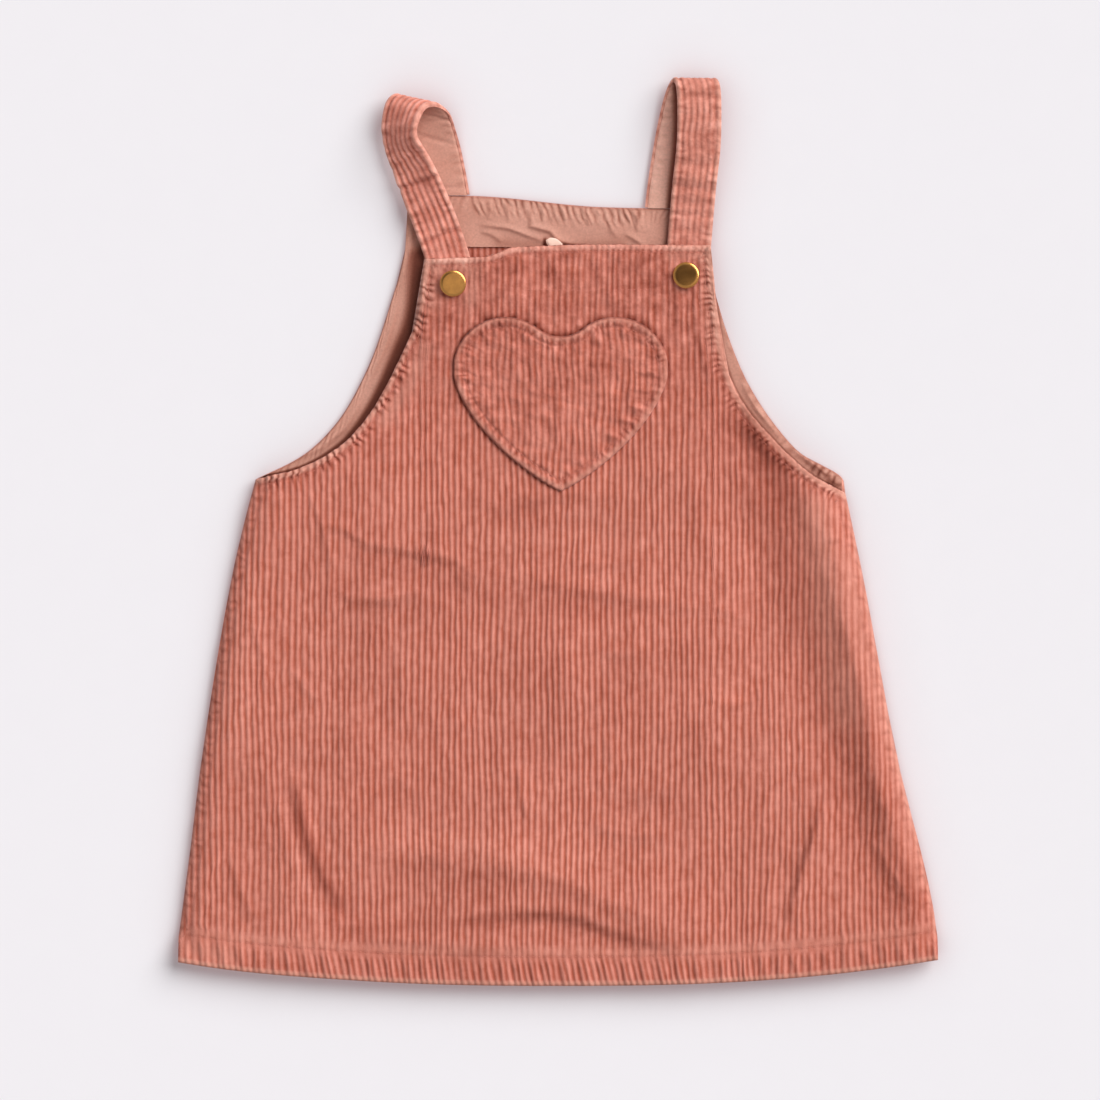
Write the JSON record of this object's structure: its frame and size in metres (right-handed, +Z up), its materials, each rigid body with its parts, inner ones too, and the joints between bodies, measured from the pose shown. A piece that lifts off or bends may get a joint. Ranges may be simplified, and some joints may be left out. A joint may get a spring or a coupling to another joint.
{
  "type": "pinafore dress",
  "caption": "Toddler's sleeveless corduroy pinafore with a heart patch pocket and snap-fastened shoulder straps, laid flat on its back.",
  "frame": {"origin": "on the ground, under the middle of the dress's outline as it lies", "axes": "+Y from the hem towards the straps, +X towards the right as seen from above, +Z up from the ground through the front"},
  "size_m": [0.3794, 0.4541, 0.0216],
  "materials": {
    "corduroy": "dusty pink cotton corduroy, 8 wales to the inch, soft brushed pile",
    "lining": "plain-woven cotton, paler pink, matte",
    "brass": "smooth satin brass with a rolled rim",
    "label": "blank pale pink woven tape"
  },
  "bodies": {
    "root": {"front_panel": "corduroy", "back_panel": "corduroy", "heart_pocket": "corduroy", "strap_left": "corduroy", "strap_right": "corduroy", "back_facing": "lining", "strap_lining_left": "lining", "strap_lining_right": "lining", "snap_cap_left": "brass", "snap_cap_right": "brass", "snap_stud_left": "brass", "snap_stud_right": "brass", "label_tab": "label"}
  },
  "joints": []
}
